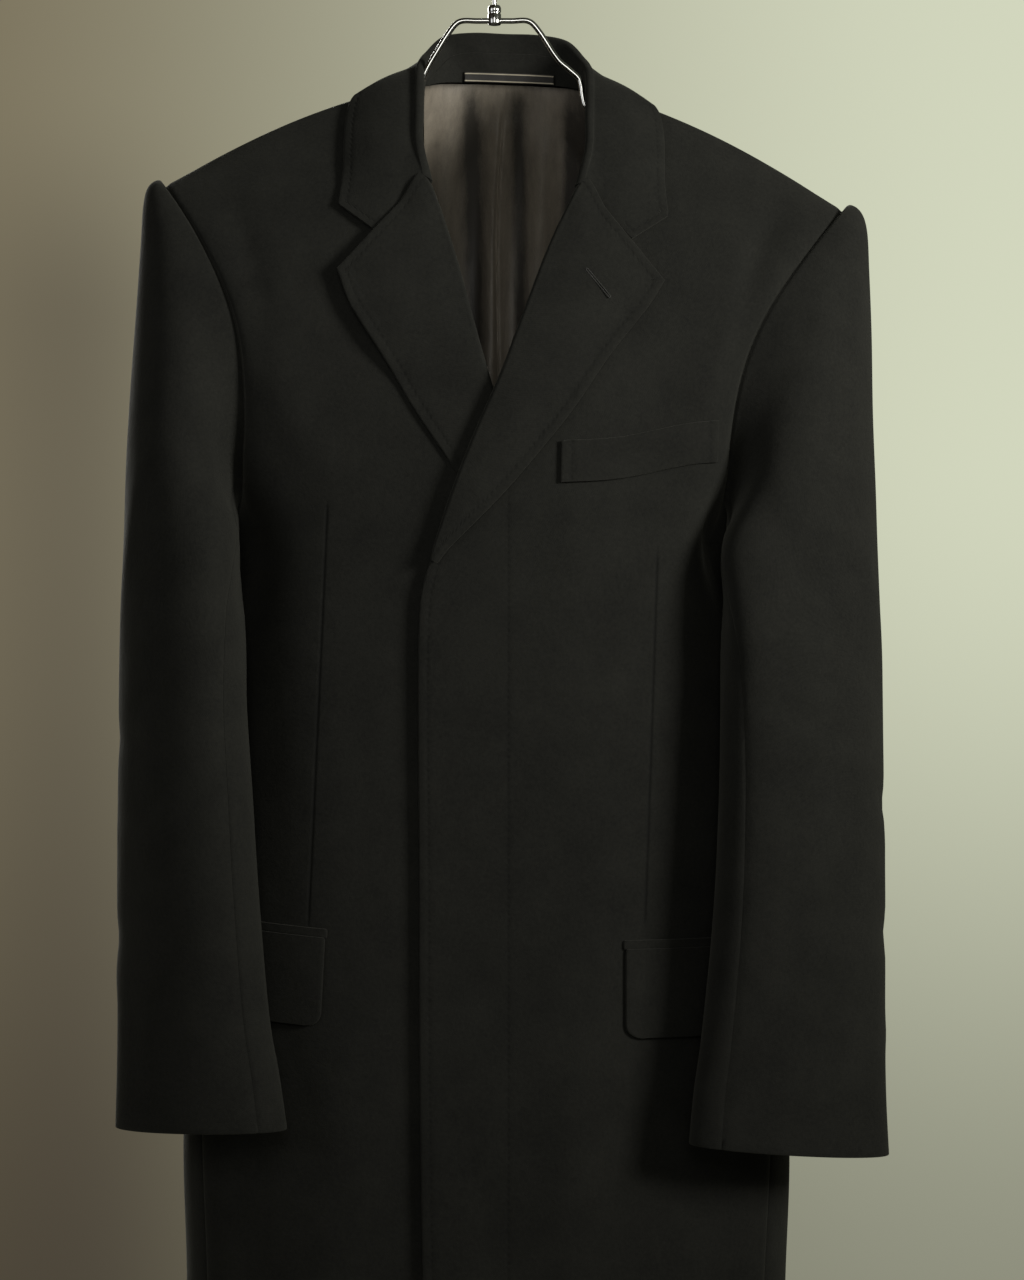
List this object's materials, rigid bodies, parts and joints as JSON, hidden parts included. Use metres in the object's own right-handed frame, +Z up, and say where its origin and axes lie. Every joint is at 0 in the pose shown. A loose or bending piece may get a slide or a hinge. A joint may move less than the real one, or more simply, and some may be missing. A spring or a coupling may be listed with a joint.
{
  "type": "chesterfield coat on a wire hanger",
  "caption": "Single-breasted knee-length wool overcoat with notch lapels and a hidden button front, hanging closed on a bent wire hanger with a hook.",
  "frame": {"origin": "inside top of the hanger's hook, where it bears on a rail", "axes": "+Z up, -Y out of the coat's front, +X towards the wearer's left sleeve"},
  "size_m": [0.5287, 0.2059, 1.2056],
  "materials": {
    "wool": "matte milled wool",
    "satin": "satin lining",
    "ribbon": "woven ribbon",
    "chrome": "polished"
  },
  "bodies": {
    "root": {"front_left": "wool", "front_right": "wool", "back_left": "wool", "back_right": "wool", "sleeve_top_left": "wool", "sleeve_top_right": "wool", "sleeve_under_left": "wool", "sleeve_under_right": "wool", "lapel_left": "wool", "lapel_right": "wool", "collar": "wool", "collar_stand": "wool", "breast_welt": "wool", "flap_left": "wool", "flap_right": "wool", "jet_left": "wool", "jet_right": "wool", "neck_tape": "ribbon", "lining_back": "satin", "hanger_wire": "chrome", "hanger_hook": "chrome", "hanger_ferrule": "chrome"}
  },
  "joints": []
}
